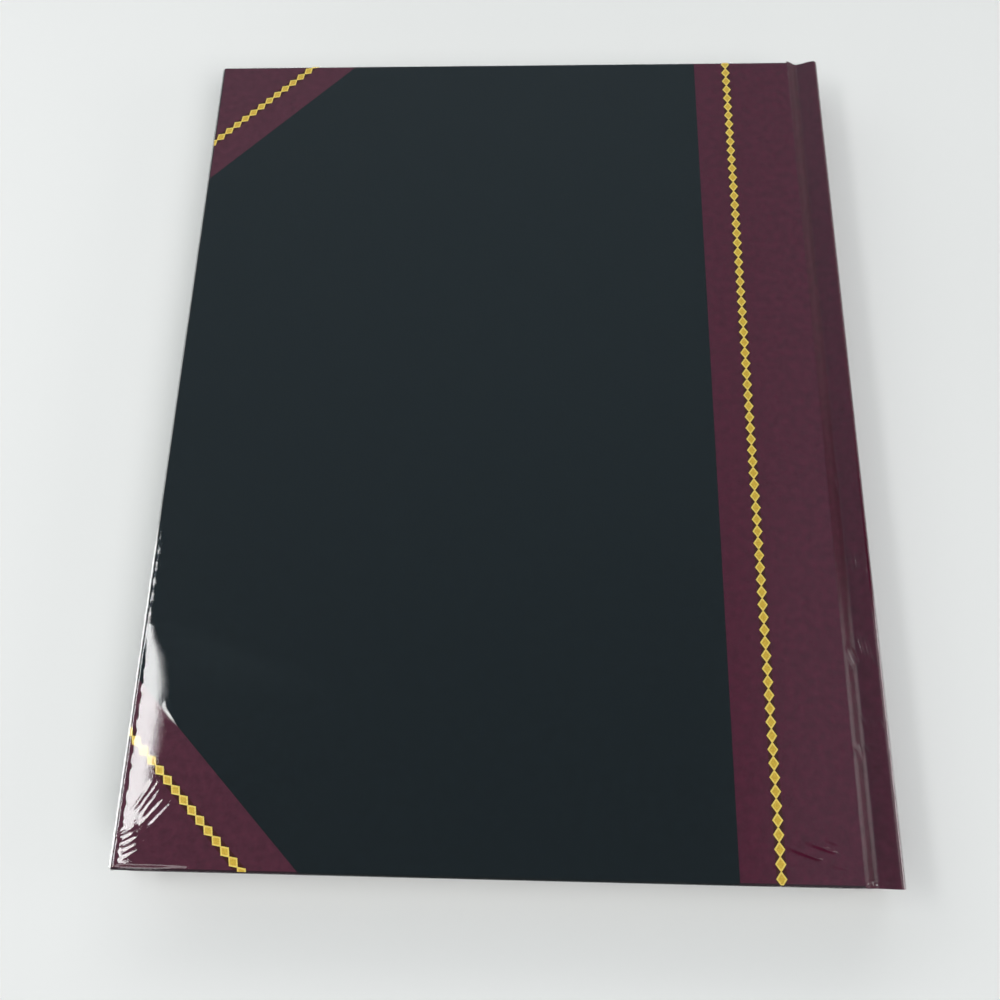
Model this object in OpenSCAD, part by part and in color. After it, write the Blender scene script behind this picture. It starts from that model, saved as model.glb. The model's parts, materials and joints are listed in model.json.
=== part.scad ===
// Hard-bound log book, closed, lying on its front cover.
// +X points to the spine, +Y to the head, +Z up. The origin is under the middle of the book.
// Lengths are in millimetres.

/* [Cover] */
// Width of the covered book, from the fore-edge to the outer face of the spine
cover_w = 206.4; // [150:0.1:260]
// Height of the covered book, from tail to head
cover_h = 263.5; // [200:0.1:350]
// Thickness of each cover board
board_t = 2.4; // [1.8:0.1:3.5]
// Thickness of the covering sheet
sheet_t = 0.3; // [0.2:0.05:0.5]
// Plan radius of the two fore-edge corners of a cover
corner_r = 2; // [1:0.1:6]
// Width of the covering turned in over the inside of a board
turn_in_w = 15; // [10:0.5:22]
// Thickness of the clear shrink film
film_t = 0.05; // [0.03:0.01:0.1]

/* [Cover colours] */
// Width of the burgundy strip, measured from the outer face of the spine
strip_w = 42.1; // [35:0.1:60]
// Leg of the head corner, along the head and along the fore-edge
head_corner_leg = 47.4; // [40:0.1:60]
// Leg of the tail corner, along the tail and along the fore-edge
tail_corner_leg = 50.5; // [40:0.1:60]
// Distance from the edge of the burgundy to the middle of the diamond chain
chain_inset = 10.6; // [6:0.1:16]
// Length of one diamond along its chain
diamond_l = 3.57; // [3:0.01:5]
// Width of one diamond
diamond_w = 2.85; // [2:0.01:4]
// Width of the neck between two diamonds
diamond_neck = 0.3; // [0.2:0.05:0.6]
// Thickness of the stamped gold
gold_t = 0.05; // [0.03:0.01:0.1]

/* [Joint and spine] */
// Distance from the outer face of the spine to the edge of a cover board
board_setback = 10.5; // [9.5:0.1:14]
// Distance from the outer face of the spine to the bottom of the groove
groove_setback = 6.9; // [6:0.1:8]
// Depth of the groove below the covered face
groove_depth = 1.6; // [0.8:0.1:2]
// Thickness of the spine board
spine_board_t = 1.2; // [0.8:0.1:1.5]
// Gap between the spine board and the lined back of the text block
hollow_gap = 0.5; // [0.4:0.1:1]
// Distance from the outer face of the spine to the hinge line of a cover
hinge_setback = 4.9; // [4.6:0.1:5.1]

/* [Text block] */
// Leaves in a section
leaves = 16; // [12:4:32]
// Thickness of one leaf
leaf_t = 0.1; // [0.08:0.01:0.13]
// Overhang of the cover boards beyond the leaves
square_w = 3; // [2:0.1:5]
// Thickness of the endpapers
endpaper_t = 0.15; // [0.1:0.01:0.2]
// Margin of a board left bare around its pastedown
pastedown_margin = 3.5; // [2.5:0.1:6]
// Air between sections, and between a flyleaf and what lies on it
air = 0.05; // [0.03:0.01:0.1]

/* [Sewing and lining] */
// Sewing stations along the spine
stations = 6; // [4:1:8]
// Distance from the end of the leaves to the first station
station_margin = 22; // [15:1:35]
// Diameter of the sewing thread
thread_d = 0.4; // [0.3:0.05:0.6]
// Clearance beside the thread
thread_clear = 0.02; // [0.02:0.01:0.05]
// Thickness of the mull, the open cloth glued over the sewn backs
mull_t = 0.25; // [0.15:0.05:0.4]
// Width of the mull glued to each board
mull_wing_w = 25; // [18:1:35]
// Distance from the end of the leaves to the end of the mull
mull_margin = 14; // [8:1:30]
// Thickness of the lining paper
lining_t = 0.2; // [0.15:0.05:0.4]
// Distance from the end of the leaves to the end of the lining paper
lining_margin = 4; // [2:1:10]

/* [Hidden] */

black = "#1d2224";
burgundy = "#4f2b36";
gold = "#c9a93c";
grey_board = "#8b857a";
cloth_white = "#e4dfd2";
paper_white = "#eeeadd";
film_clear = [0.92, 0.95, 0.96, 0.25];

// Sewn sections, and how many of them stay at the front when the book is opened at the back
sections = 5;
fixed_sections = 2;
// Steps of a rounded corner, and of each side of the groove
arc_steps = 6;
// Small overshoot of a cutting body past the face that it cuts
over = 1;

// Heights, from the underside of the film up
section_t = leaves * leaf_t;
block_t = sections * section_t + (sections - 1) * air;
cover_t = film_t + gold_t + sheet_t + board_t;
thickness = 2 * (cover_t + endpaper_t + air + endpaper_t + air) + block_t;
block_z = cover_t + endpaper_t + air + endpaper_t + air;
// Heights in the back cover
covered_z = thickness - film_t - gold_t;
board_top_z = covered_z - sheet_t;
board_in_z = board_top_z - board_t;
pastedown_z = board_in_z - endpaper_t;
flyleaf_z = pastedown_z - air - endpaper_t;

// Places along X
fore_x = -cover_w / 2;
spine_x = cover_w / 2;
board_x = spine_x - board_setback;
strip_x = spine_x - strip_w;
groove_x = spine_x - groove_setback;
hinge_x = spine_x - hinge_setback;
shoulder_r = sheet_t + spine_board_t;
lining_x = spine_x - shoulder_r - hollow_gap;
mull_x = lining_x - lining_t;
thread_x = mull_x - mull_t;
block_x = thread_x - thread_d - 2 * thread_clear;
page_x = fore_x + square_w;

// Places along Y
page_h = cover_h - 2 * square_w;

// Level of section i, counted from 0 at the front
function section_z(i) = block_z + i * (section_t + air);

// Plan outline of a cover: square at the joint, rounded at the fore-edge, drawn in by inset on its
// three free sides
function cover_outline(inset) =
    let (
        x = fore_x + inset,
        y = cover_h / 2 - inset,
        r = max(corner_r - inset, 0.2)
    )
    concat(
        [[board_x, -y], [board_x, y]],
        [for (k = [0 : arc_steps])
            let (a = 90 + 90 * k / arc_steps)
            [x + r + r * cos(a), y - r + r * sin(a)]],
        [for (k = [0 : arc_steps])
            let (a = 180 + 90 * k / arc_steps)
            [x + r + r * cos(a), -y + r + r * sin(a)]]
    );

// A smooth step from 0 to 1
function ease(t) = (1 - cos(180 * t)) / 2;

// Outer line of the covering from the board, through the groove, to the top of the shoulder
function groove_line(z) = concat(
    [for (k = [0 : arc_steps])
        let (t = k / arc_steps)
        [board_x + t * (groove_x - board_x), z - groove_depth * ease(t)]],
    [for (k = [1 : arc_steps])
        let (t = k / arc_steps)
        [groove_x + t * (spine_x - shoulder_r - groove_x), z - groove_depth * (1 - ease(t))]]
);

// Line round the spine at distance out from the covered face, from the lower shoulder to the upper
function spine_line(out) =
    let (
        r = shoulder_r + out,
        x = spine_x - shoulder_r,
        top = covered_z - shoulder_r,
        low = thickness - top
    )
    concat(
        [for (k = [0 : arc_steps])
            let (a = -90 + 90 * k / arc_steps)
            [x + r * cos(a), low + r * sin(a)]],
        [for (k = [0 : arc_steps])
            let (a = 90 * k / arc_steps)
            [x + r * cos(a), top + r * sin(a)]]
    );

function reversed(list) = [for (k = [len(list) - 1 : -1 : 0]) list[k]];

// Turns a piece of the back side over to the front side
module on_front() {
    translate([0, 0, thickness]) mirror([0, 0, 1]) children();
}

// A profile in X and Z, made length long along Y and centred
module along_spine(length) {
    translate([0, length / 2, 0]) rotate([90, 0, 0]) linear_extrude(length) children();
}

// A plate between two X, with half height y, from level z up by t
module plate(x0, x1, y, z, t) {
    translate([x0, -y, z]) cube([x1 - x0, 2 * y, t]);
}

// A slab with the outline of a cover drawn in by inset, from level z up by t
module cover_slab(inset, z, t) {
    translate([0, 0, z]) linear_extrude(t) polygon(cover_outline(inset));
}

// The inside face of a board that the turned-in covering leaves bare
module board_window(z, t) {
    plate(fore_x + turn_in_w, board_x, cover_h / 2 - turn_in_w, z, t);
}

// The cloth glued to the inside of a board along its joint
module mull_wing() {
    plate(board_x - mull_wing_w, board_x, page_h / 2 - mull_margin, board_in_z, mull_t);
}

// A cover board, pressed in where the turned-in covering and the cloth lie
module board() {
    difference() {
        union() {
            cover_slab(sheet_t, board_in_z + sheet_t, board_t - sheet_t);
            board_window(board_in_z, sheet_t);
        }
        mull_wing();
    }
}

// The whole covering of one board: outer face, three edges and turn-ins
module covering() {
    difference() {
        cover_slab(0, board_in_z, covered_z - board_in_z);
        cover_slab(sheet_t, board_in_z + sheet_t, board_t - sheet_t);
        board_window(board_in_z - over, sheet_t + 2 * over);
        plate(board_x - over, board_x + over, cover_h / 2 - sheet_t, board_in_z - over, board_t + over);
    }
}

// Everything above a cover's corner, as a triangle with the given leg; side is 1 at the head, -1 at the tail
module corner_zone(leg, side) {
    translate([0, 0, board_in_z - over])
        linear_extrude(board_t + sheet_t + 2 * over)
            polygon([
                [fore_x - over, side * (cover_h / 2 + over)],
                [fore_x + leg + over, side * (cover_h / 2 + over)],
                [fore_x - over, side * (cover_h / 2 - leg - over)]
            ]);
}

// Everything above the burgundy strip beside the joint
module strip_zone() {
    plate(strip_x, board_x + over, cover_h / 2 + over, board_in_z - over, board_t + sheet_t + 2 * over);
}

module panel() {
    difference() {
        covering();
        strip_zone();
        corner_zone(head_corner_leg, 1);
        corner_zone(tail_corner_leg, -1);
    }
}

module spine_strip() {
    intersection() {
        covering();
        strip_zone();
    }
}

module corner(leg, side) {
    intersection() {
        covering();
        corner_zone(leg, side);
    }
}

// Outline of a chain of diamonds along +Y from its first tip, as many as fill the length
module diamond_chain(length) {
    count = ceil(length / diamond_l);
    right = [for (k = [0 : count - 1]) each [
        [diamond_neck / 2, k * diamond_l],
        [diamond_w / 2, (k + 0.5) * diamond_l]
    ]];
    left = [for (p = reversed(right)) [-p[0], p[1]]];
    end = [[diamond_neck / 2, count * diamond_l], [-diamond_neck / 2, count * diamond_l]];
    polygon(concat(right, end, left));
}

// Chain across a corner, a fixed distance in from the edge of its burgundy
module corner_chain(leg, side) {
    chain_leg = leg - chain_inset * sqrt(2);
    mirror([0, side < 0 ? 1 : 0, 0])
        translate([fore_x, cover_h / 2 - chain_leg, 0])
            rotate([0, 0, -45])
                diamond_chain(chain_leg * sqrt(2));
}

module gold_chain() {
    translate([0, 0, covered_z]) linear_extrude(gold_t) intersection() {
        polygon(cover_outline(0));
        union() {
            translate([strip_x + chain_inset, -cover_h / 2, 0]) diamond_chain(cover_h);
            corner_chain(head_corner_leg, 1);
            corner_chain(tail_corner_leg, -1);
        }
    }
}

module pastedown() {
    y = cover_h / 2 - pastedown_margin;
    plate(fore_x + pastedown_margin, board_x, y, pastedown_z, endpaper_t);
}

// Film over the outer face of a cover and down its three free edges
module film() {
    difference() {
        cover_slab(-film_t, board_in_z, thickness - board_in_z);
        cover_slab(0, board_in_z - over, covered_z + gold_t - board_in_z + over);
        plate(
            board_x - over, board_x + over, cover_h / 2,
            board_in_z - over, covered_z + gold_t - board_in_z + over
        );
    }
}

module joint_covering() {
    line = groove_line(covered_z);
    under = [for (p = reversed(line)) [p[0], p[1] - sheet_t]];
    along_spine(cover_h) polygon(concat(line, under));
}

module joint_film() {
    line = groove_line(covered_z);
    upper = [for (p = reversed(line)) [p[0], p[1] + film_t]];
    along_spine(cover_h) polygon(concat(line, upper));
}

module joint_cloth() {
    plate(board_x, mull_x, page_h / 2 - mull_margin, board_in_z, mull_t);
}

// The endpaper from the pastedown to its fold at the back of the leaves, and the root of the flyleaf
module joint_endpaper() {
    y = page_h / 2;
    plate(board_x, block_x, y, pastedown_z, endpaper_t);
    plate(block_x - endpaper_t, block_x, y, flyleaf_z, pastedown_z - flyleaf_z + endpaper_t);
    plate(hinge_x, block_x, y, flyleaf_z, endpaper_t);
}

module flyleaf() {
    plate(page_x, hinge_x, page_h / 2, flyleaf_z, endpaper_t);
}

// The leaves of section i, from the fore-edge to x
module section(i, x) {
    color(paper_white) plate(page_x, x, page_h / 2, section_z(i), section_t);
}

module back_board() { color(grey_board) board(); }
module back_panel() { color(black) panel(); }
module back_spine_strip() { color(burgundy) spine_strip(); }
module back_corner_head() { color(burgundy) corner(head_corner_leg, 1); }
module back_corner_tail() { color(burgundy) corner(tail_corner_leg, -1); }
module back_gold_chain() { color(gold) gold_chain(); }
module back_mull_wing() { color(cloth_white) mull_wing(); }
module back_pastedown() { color(paper_white) pastedown(); }
module back_film() { color(film_clear) film(); }
module back_joint_covering() { color(burgundy) joint_covering(); }
module back_joint_cloth() { color(cloth_white) joint_cloth(); }
module back_joint_endpaper() { color(paper_white) joint_endpaper(); }
module back_joint_film() { color(film_clear) joint_film(); }
module back_flyleaf() { color(paper_white) flyleaf(); }

module front_board() { color(grey_board) on_front() board(); }
module front_panel() { color(black) on_front() panel(); }
module front_spine_strip() { color(burgundy) on_front() spine_strip(); }
module front_corner_head() { color(burgundy) on_front() corner(head_corner_leg, 1); }
module front_corner_tail() { color(burgundy) on_front() corner(tail_corner_leg, -1); }
module front_gold_chain() { color(gold) on_front() gold_chain(); }
module front_mull_wing() { color(cloth_white) on_front() mull_wing(); }
module front_pastedown() { color(paper_white) on_front() pastedown(); }
module front_film() { color(film_clear) on_front() film(); }
module front_joint_covering() { color(burgundy) on_front() joint_covering(); }
module front_joint_cloth() { color(cloth_white) on_front() joint_cloth(); }
module front_joint_endpaper() { color(paper_white) on_front() joint_endpaper(); }
module front_joint_film() { color(film_clear) on_front() joint_film(); }
module front_flyleaf() { color(paper_white) on_front() flyleaf(); }

// The stiffener of the spine, its ends rounded under the covering
module spine_board() {
    line = spine_line(-sheet_t);
    color(grey_board) along_spine(cover_h - 2 * sheet_t) polygon(line);
}

// The covering round the spine and over the ends of the spine board, turned in at head and tail
module spine_covering() {
    x = spine_x - shoulder_r;
    line = spine_line(-sheet_t);
    open_side = [[x - over, line[len(line) - 1][1]], [x - over, line[0][1]]];
    color(burgundy) {
        difference() {
            along_spine(cover_h) polygon(spine_line(0));
            along_spine(cover_h - 2 * sheet_t) polygon(concat(line, open_side));
        }
        spine_turn_in();
        mirror([0, 1, 0]) spine_turn_in();
    }
}

// The covering turned in at the head, from the end of the spine board down its inner face
module spine_turn_in() {
    x = spine_x - shoulder_r;
    y = cover_h / 2;
    low = thickness - covered_z + 2 * sheet_t;
    translate([0, 0, low]) linear_extrude(thickness - 2 * low) polygon([
        [x - sheet_t, y], [x + sheet_t, y], [x + sheet_t, y - sheet_t],
        [x, y - sheet_t], [x, y - turn_in_w], [x - sheet_t, y - turn_in_w]
    ]);
}

module spine_film() {
    color(film_clear) along_spine(cover_h) polygon(concat(spine_line(film_t), reversed(spine_line(0))));
}

module spine_lining() {
    y = page_h / 2 - lining_margin;
    color(paper_white) plate(mull_x, lining_x, y, block_z, block_t);
}

module spine_mull() {
    low = thickness - board_in_z;
    color(cloth_white) plate(thread_x, mull_x, page_h / 2 - mull_margin, low, board_in_z - low);
}

// Thread runs over the backs of the sections at each station
module sewing_thread() {
    reach = page_h - 2 * station_margin;
    x = block_x + thread_clear + thread_d / 2;
    color(cloth_white)
        for (k = [0 : stations - 1])
            translate([x, -reach / 2 + k * reach / (stations - 1), block_z + section_t / 2])
                cylinder(d = thread_d, h = block_t - section_t, $fn = 24);
}

module section_1() { section(0, block_x); }
module section_2() { section(1, block_x); }
module section_3() { section(2, hinge_x); }
module section_4() { section(3, hinge_x); }
module section_5() { section(4, hinge_x); }

// The sewn folds of the sections that turn, which stay at the spine
module turning_section_folds() {
    color(paper_white)
        for (i = [fixed_sections : sections - 1])
            plate(hinge_x, block_x, page_h / 2, section_z(i), section_t);
}

back_board();
back_panel();
back_spine_strip();
back_corner_head();
back_corner_tail();
back_gold_chain();
back_mull_wing();
back_pastedown();
back_film();
back_joint_covering();
back_joint_cloth();
back_joint_endpaper();
back_joint_film();
back_flyleaf();
front_board();
front_panel();
front_spine_strip();
front_corner_head();
front_corner_tail();
front_gold_chain();
front_mull_wing();
front_pastedown();
front_film();
front_joint_covering();
front_joint_cloth();
front_joint_endpaper();
front_joint_film();
front_flyleaf();
spine_board();
spine_covering();
spine_film();
spine_lining();
spine_mull();
sewing_thread();
section_1();
section_2();
section_3();
section_4();
section_5();
turning_section_folds();
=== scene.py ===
"""A hard-bound log book in clear shrink film, closed, lying on its front cover.

Lengths are in metres. +X points to the spine, +Y to the head, +Z up, as in the frame.
"""
import json
import math
import random

import bmesh
import bpy
import numpy as np
from mathutils import Euler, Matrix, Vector

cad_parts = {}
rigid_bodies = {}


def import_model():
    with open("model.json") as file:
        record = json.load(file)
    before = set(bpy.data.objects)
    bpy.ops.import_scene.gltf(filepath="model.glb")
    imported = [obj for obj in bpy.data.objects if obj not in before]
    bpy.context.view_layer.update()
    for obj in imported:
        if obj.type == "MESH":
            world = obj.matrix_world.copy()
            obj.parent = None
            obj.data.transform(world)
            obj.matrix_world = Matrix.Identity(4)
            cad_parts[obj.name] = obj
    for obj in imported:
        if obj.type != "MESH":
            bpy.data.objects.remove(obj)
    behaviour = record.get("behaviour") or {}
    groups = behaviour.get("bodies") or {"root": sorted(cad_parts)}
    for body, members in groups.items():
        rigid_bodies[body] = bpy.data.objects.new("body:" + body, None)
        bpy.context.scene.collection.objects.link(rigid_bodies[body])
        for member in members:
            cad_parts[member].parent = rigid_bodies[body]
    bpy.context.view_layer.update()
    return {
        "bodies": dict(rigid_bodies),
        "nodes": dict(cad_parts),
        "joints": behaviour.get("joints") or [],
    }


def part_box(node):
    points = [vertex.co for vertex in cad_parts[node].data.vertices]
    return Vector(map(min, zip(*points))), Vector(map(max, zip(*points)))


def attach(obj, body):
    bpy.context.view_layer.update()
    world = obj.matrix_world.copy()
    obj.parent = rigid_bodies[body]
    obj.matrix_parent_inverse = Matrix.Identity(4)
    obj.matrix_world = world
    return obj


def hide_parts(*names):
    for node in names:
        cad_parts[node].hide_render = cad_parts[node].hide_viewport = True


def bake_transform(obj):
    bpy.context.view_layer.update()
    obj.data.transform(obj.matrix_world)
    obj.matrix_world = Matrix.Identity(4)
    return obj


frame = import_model()
nodes = frame["nodes"]
MM = 0.001


def spread(low, high, pitch):
    """Evenly spaced values from low to high, about pitch apart."""
    return np.linspace(low, high, max(2, round((high - low) / pitch) + 1))


# Sizes read from the frame
PANEL_LOW, PANEL_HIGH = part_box("back_panel")
STRIP_LOW, STRIP_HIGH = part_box("back_spine_strip")
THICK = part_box("back_film")[1].z
FORE_X = PANEL_LOW.x
HEAD_Y = PANEL_HIGH.y
STRIP_X = STRIP_LOW.x
BOARD_X = STRIP_HIGH.x
COVERED_Z = PANEL_HIGH.z
BOARD_IN_Z = PANEL_LOW.z
SPINE_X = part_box("spine_covering")[1].x
SHOULDER_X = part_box("back_joint_covering")[1].x
SHOULDER_R = SPINE_X - SHOULDER_X
FILM_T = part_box("back_joint_film")[1].z - COVERED_Z
FILM_Z = THICK - FILM_T
JOINTS = {joint["name"]: joint for joint in frame["joints"]}
HINGE_X = JOINTS["back_cover_hinge"]["pos_m"][0]

# Sizes of the covering that the frame's boxes do not hold
SHEET_T = 0.3 * MM
CORNER_R = 0.8 * MM
FLAT_INSET = 2.0 * MM
TURN_IN = 15.0 * MM
EDGE_R = 1.0 * MM
TURN_R = 0.25 * MM
GROOVE_X = SPINE_X - 6.9 * MM
GROOVE_DEPTH = 1.6 * MM
HEAD_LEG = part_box("back_corner_head")[1].x - FORE_X
TAIL_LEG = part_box("back_corner_tail")[1].x - FORE_X

# The diamond chain, its dark line and the distance that its cut ends keep from the edges
CHAIN_INSET = 10.6 * MM
DIAMOND_L = 3.57 * MM
DIAMOND_W = 2.85 * MM
DIAMOND_NECK = 0.3 * MM
DIAMOND_RIM = 0.66
DIAMOND_GAP = 0.02 * MM
HATCH_PITCH = 0.42 * MM
GOLD_T = 0.7 * (FILM_Z - COVERED_Z)
CHAIN_X = STRIP_X + CHAIN_INSET
CHAIN_EDGE = 0.35 * MM
BAND_HALF = 1.3 * MM
BAND_SOFT = 0.25 * MM

# Leaves: how many, the share of its place that each fills, their unequal sizes, where they bend
SECTIONS = 5
LEAVES = 16
LEAF_FILL = 0.86
LEAF_STRAY = 0.12 * MM
BEND_REACH = 17 * MM
BEND_PITCH = 0.8 * MM
REST_PLACE = "rest_place"

# Ruling: blue rules below the head margin, a red line above them, a red double line at the fore-edge
RULE_PITCH = 7.14 * MM
RULE_TOP = 34 * MM
RULE_INK = 0.75
RULE_HALF = 0.022
HEAD_LINE_RISE = 3 * MM
HEAD_LINE_HALF = 0.2 * MM
MARGIN = 38 * MM
MARGIN_GAP = 1.2 * MM
MARGIN_HALF = 0.16 * MM

# Cloth and paper across the joints, and the grid of long straight pieces
JOINT_PAPER_T = 0.15 * MM
JOINT_PITCH = 0.35 * MM
LONG_PITCH = 12 * MM

# The camera: its place, its turn in degrees, its lens and sensor in millimetres
CAMERA_AT = Vector((8.52, -115.91, 274.27)) * MM
CAMERA_TURN = (18.661, 2.026, 1.199)
CAMERA_LENS = 33.66
SENSOR = 36.0
CAMERA_NEAR = 0.01

# The floor, a little below the book
FLOOR_REACH = 12.0
FLOOR_DROP = 0.1 * MM

# Softboxes: name, place, width, height, radiance
LAMPS = [
    ("left_softbox", (-0.47, -0.03, 0.60), 0.35, 0.14, 8.0),
    ("groove_softbox", (0.64, -0.04, 0.73), 0.32, 0.42, 0.85),
    ("rim_softbox", (0.95, -0.05, 0.22), 0.35, 0.40, 3.6),
]
# Wide, far lights: name, direction, width in degrees, strength
FAR_LAMPS = [
    ("tail_left_light", (-0.65, -0.82, 1.20), 34.0, 0.45),
    ("tail_right_light", (0.80, -0.85, 1.10), 34.0, 1.40),
]

SEED = 7

# Film: the share of light that a face reflects, and the share of the groove's depth that it follows
FILM_SHINE = 0.05
FILM_SAG = 0.55
# The tightest fold round an edge, what the fullest fold adds to its radius, and its share in a tight fold
FILM_EDGE_R = 0.06 * MM
FILM_FOLD_R = CORNER_R - FILM_EDGE_R
TIGHT_FOLD = 0.15

# Where the film stands off the cover beside the fore-edge: along the edge from the head end to the tail
LIFT_HEAD_Y = -30 * MM
LIFT_HEAD_FADE = 15 * MM
LIFT_GROW_Y = -62 * MM
LIFT_GROW = 24 * MM
LIFT_SHRINK_Y = -100 * MM
LIFT_SHRINK = 30 * MM
LIFT_TAIL_FADE = 0.8 * MM
# The flat border, the crest's distance from it, its height for that distance, the steep start, its puckers
FLAT_BORDER = 0.16 * MM
CREST_NEAR = 2.2 * MM
CREST_GROWTH = 17 * MM
CREST_SHRINKAGE = 11 * MM
LIFT_SLOPE = 0.036
STEEP_LIFT = 0.16 * MM
STEEP_REACH = 1.3 * MM
PUCKER_PITCHES = (1.9 * MM, 4.7 * MM)

# Grid of the film, fine where it lifts or wrinkles
COARSE_PITCH = 8 * MM
FILM_XS = np.concatenate([
    spread(FORE_X + CORNER_R, FORE_X + 4 * MM, FLAT_BORDER),
    spread(FORE_X + 4.5 * MM, FORE_X + 24 * MM, 0.5 * MM),
    spread(FORE_X + 26 * MM, STRIP_X, 3 * MM)[:-1],
    spread(STRIP_X, BOARD_X, 0.8 * MM),
])
FILM_YS = np.concatenate([
    spread(-HEAD_Y, -119 * MM, 0.25 * MM),
    spread(-118.5 * MM, -35 * MM, 0.6 * MM),
    spread(-34 * MM, 12 * MM, 0.9 * MM),
    spread(15 * MM, HEAD_Y, 3 * MM),
])

# Wrinkles in millimetres: first start, step to the next, run, how many, height, width
RIDGES = [
    ((-99.0, -117.0), (1.2, -1.0), (5.5, 8.5), 3, 0.20, 0.5),
    ((-96.0, -120.3), (2.5, -0.3), (7.5, 8.0), 2, 0.20, 0.6),
    ((-94.0, -88.7), (1.0, -2.0), (6.5, -7.5), 1, 0.12, 0.4),
    ((-101.5, -123.0), (0.4, -1.5), (4.5, 2.4), 5, 0.10, 0.4),
    ((-80.0, -62.0), (25.0, 61.0), (1.8, -3.2), 3, 0.05, 0.25),
]
# Creases lean: they fall slowly to the left of their run and steeply to the right
CREASES = [
    ((98.0, 6.0), (2.2, 0.0), (-0.4, -3.0), 2, 0.16, 0.8),
    ((95.5, -20.0), (4.0, 0.0), (0.5, -4.0), 2, 0.20, 0.8),
    ((97.0, -42.5), (1.8, -0.5), (0.3, -6.0), 3, 0.22, 0.8),
    ((93.2, -70.5), (1.7, 0.0), (2.0, -4.5), 2, 0.22, 0.8),
    ((97.0, -65.5), (1.8, -1.0), (1.4, -7.5), 2, 0.24, 0.8),
    ((95.7, -88.5), (2.2, -0.5), (1.4, -2.8), 3, 0.20, 0.7),
    ((90.0, -96.5), (1.9, 0.2), (1.5, -2.6), 5, 0.18, 0.7),
    ((82.5, -125.1), (4.0, 1.7), (-7.5, 2.6), 2, 0.30, 0.8),
    ((84.0, -122.0), (3.5, 0.6), (-3.0, 1.0), 2, 0.15, 0.7),
    ((75.0, -127.6), (14.0, 0.6), (-4.0, 0.5), 2, 0.14, 0.7),
    ((93.5, -130.9), (1.3, 0.0), (-0.4, 1.0), 6, 0.16, 0.5),
]

# Colours, dark and light where a surface mixes two
BURGUNDY_DARK = (0.066, 0.0095, 0.0240)
BURGUNDY = (0.103, 0.0170, 0.0390)
STRIP_DARK = (0.061, 0.0042, 0.0185)
STRIP_LIGHT = (0.096, 0.0075, 0.0300)
SPINE_DARK = (0.048, 0.0034, 0.0145)
SPINE_LIGHT = (0.076, 0.0062, 0.0245)
BLACK_DARK = (0.0012, 0.0030, 0.0046)
BLACK = (0.0030, 0.0062, 0.0088)
BAND = (0.055, 0.006, 0.001)
RIM_DARK = (0.86, 0.63, 0.10)
RIM_LIGHT = (0.98, 0.77, 0.17)
FILL_DARK = (0.64, 0.40, 0.02)
FILL_LIGHT = (0.83, 0.58, 0.045)
ENDPAPER_TONE = (0.80, 0.76, 0.67)
PAGE_TONE = (0.84, 0.82, 0.73)
LEAF_EDGE_DARK = (0.55, 0.52, 0.44)
LEAF_EDGE_LIGHT = (0.84, 0.82, 0.74)
BLUE_INK = (0.38, 0.55, 0.72)
RED_INK = (0.72, 0.22, 0.24)
BOARD_DARK = (0.16, 0.15, 0.13)
BOARD_LIGHT = (0.32, 0.30, 0.26)
KRAFT_DARK = (0.38, 0.27, 0.15)
KRAFT_LIGHT = (0.52, 0.39, 0.24)
MULL_DARK = (0.42, 0.38, 0.30)
MULL_LIGHT = (0.74, 0.71, 0.62)
THREAD_DARK = (0.55, 0.52, 0.45)
THREAD_LIGHT = (0.84, 0.82, 0.75)
FLOOR_DARK = (0.80, 0.80, 0.79)
FLOOR_LIGHT = (0.83, 0.83, 0.82)

# The covering's roughness, the share of its colour kept under the painted shade on its turned edges, and how
# far below the top that painted shade starts
COVERING_SMOOTH = 0.42
COVERING_ROUGH = 0.6
PAINTED_EDGE_SHADE = 0.30
PAINTED_SHADE_DROP = 0.06 * MM

# Light from the room, by direction
CEILING_TAIL = (0.10, 0.135, 0.15)
CEILING_HEAD = (0.17, 0.225, 0.25)
CEILING_RIGHT = (0.19, 0.245, 0.27)
WALL = (0.80, 0.82, 0.81)
HEAD_WALL = (3.50, 3.56, 3.53)
DARK_WALL = (0.02, 0.02, 0.02)
HEAD_RIGHT_WALL = (0.25, 0.26, 0.26)
LOW_WALL = (0.95, 0.97, 0.96)

# Grain of each surface, in cells per metre
CLOUD_SCALE = 60.0
COVERING_SCALE = 420.0
KRAFT_SCALE = 700.0
SHEEN_SCALE = 900.0
LEATHER_SCALE = 1500.0
FIBRE_SCALE = 1800.0
FILM_SCALE = 2200.0
GOLD_SCALE = 2600.0
LEATHER_FINE_SCALE = 4200.0
MULL_PITCH = 0.9 * MM
THREAD_PITCH = 0.35 * MM

# Angles in degrees above which the edges of a piece stay sharp
SHARP_GOLD = 20.0
SHARP_COVERING = 25.0
SHARP_LEAF = 30.0
SHARP_JOINT = 50.0
SHARP_FILM = 60.0


# Materials


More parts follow.
